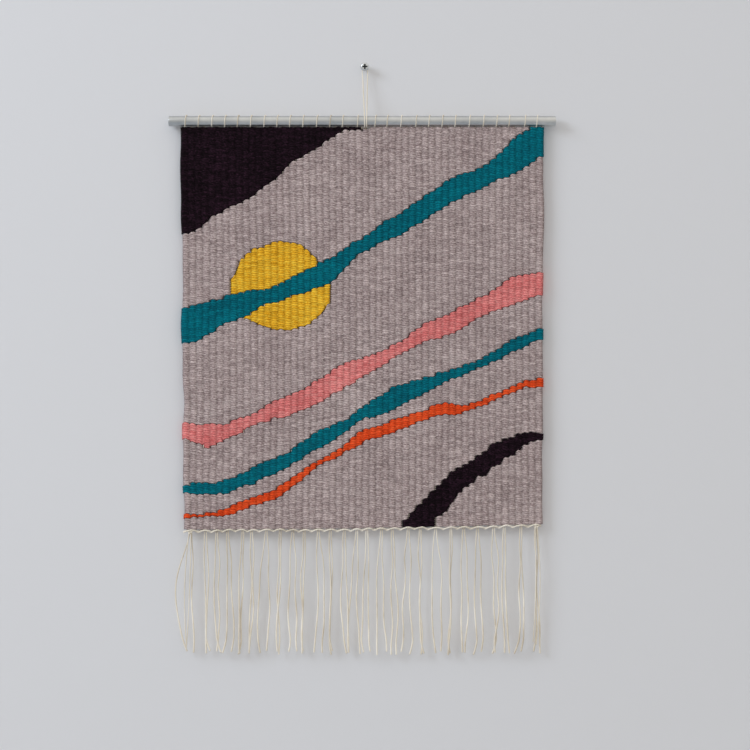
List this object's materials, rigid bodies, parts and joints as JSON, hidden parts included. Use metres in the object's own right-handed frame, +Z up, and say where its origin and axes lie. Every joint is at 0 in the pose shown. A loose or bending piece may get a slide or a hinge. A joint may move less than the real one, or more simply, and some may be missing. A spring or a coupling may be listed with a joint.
{
  "type": "woven wall hanging",
  "caption": "Hand-woven tapestry wall hanging with a fringe, looped over a round metal rod that hangs by a cord from a wall screw.",
  "frame": {"origin": "on the wall's face, where the screw goes in", "axes": "+X to the viewer's right along the rod, +Y into the wall, +Z up"},
  "size_m": [0.378, 0.0419, 0.5774],
  "materials": {
    "plum_wool": "weft-faced wool weave, near black",
    "grey_wool": "weft-faced wool weave",
    "teal_wool": "weft-faced wool weave",
    "sun_wool": "weft-faced wool weave",
    "pink_wool": "weft-faced wool weave",
    "orange_wool": "weft-faced wool weave",
    "cotton_cord": "plied cotton, off-white",
    "aluminium_bar": "brushed along its length",
    "zinc_plate": "bright zinc plate"
  },
  "bodies": {
    "wall_fixing": {"wall_screw": "zinc_plate"},
    "hanger": {"hanging_cord": "cotton_cord", "hanging_knot": "cotton_cord"},
    "rod": {"hanging_rod": "aluminium_bar"},
    "weaving": {"weft_plum_corner": "plum_wool", "weft_grey_upper": "grey_wool", "weft_sun_upper": "sun_wool", "weft_teal_upper": "teal_wool", "weft_sun_lower": "sun_wool", "weft_grey_middle": "grey_wool", "weft_pink_stripe": "pink_wool", "weft_grey_lower": "grey_wool", "weft_teal_lower": "teal_wool", "weft_grey_narrow": "grey_wool", "weft_orange_stripe": "orange_wool", "weft_grey_bottom": "grey_wool", "weft_plum_stroke": "plum_wool", "weft_grey_corner": "grey_wool", "warp_01": "cotton_cord", "warp_02": "cotton_cord", "warp_03": "cotton_cord", "warp_04": "cotton_cord", "warp_05": "cotton_cord", "warp_06": "cotton_cord", "warp_07": "cotton_cord", "warp_08": "cotton_cord", "warp_09": "cotton_cord", "warp_10": "cotton_cord", "warp_11": "cotton_cord", "warp_12": "cotton_cord", "warp_13": "cotton_cord", "warp_14": "cotton_cord", "warp_15": "cotton_cord", "warp_16": "cotton_cord", "warp_17": "cotton_cord", "warp_18": "cotton_cord", "warp_19": "cotton_cord", "warp_20": "cotton_cord", "warp_21": "cotton_cord", "warp_22": "cotton_cord", "warp_23": "cotton_cord", "warp_24": "cotton_cord", "warp_25": "cotton_cord", "warp_26": "cotton_cord", "warp_27": "cotton_cord", "hem_twining": "cotton_cord"}
  },
  "joints": [
    {"name": "cord_swing", "type": "hinge", "parent": "wall_fixing", "child": "hanger", "pos_m": [0, -0.0035, 0], "axis": [0, 1, 0], "range_deg": [-25, 25]},
    {"name": "rod_tilt", "type": "hinge", "parent": "hanger", "child": "rod", "pos_m": [0.0008, -0.0071, -0.053], "axis": [0, 1, 0], "range_deg": [-8, 8]},
    {"name": "cloth_lift", "type": "hinge", "parent": "rod", "child": "weaving", "pos_m": [-0.0026, -0.0071, -0.053], "axis": [-1, 0, 0], "range_deg": [0, 75]}
  ]
}
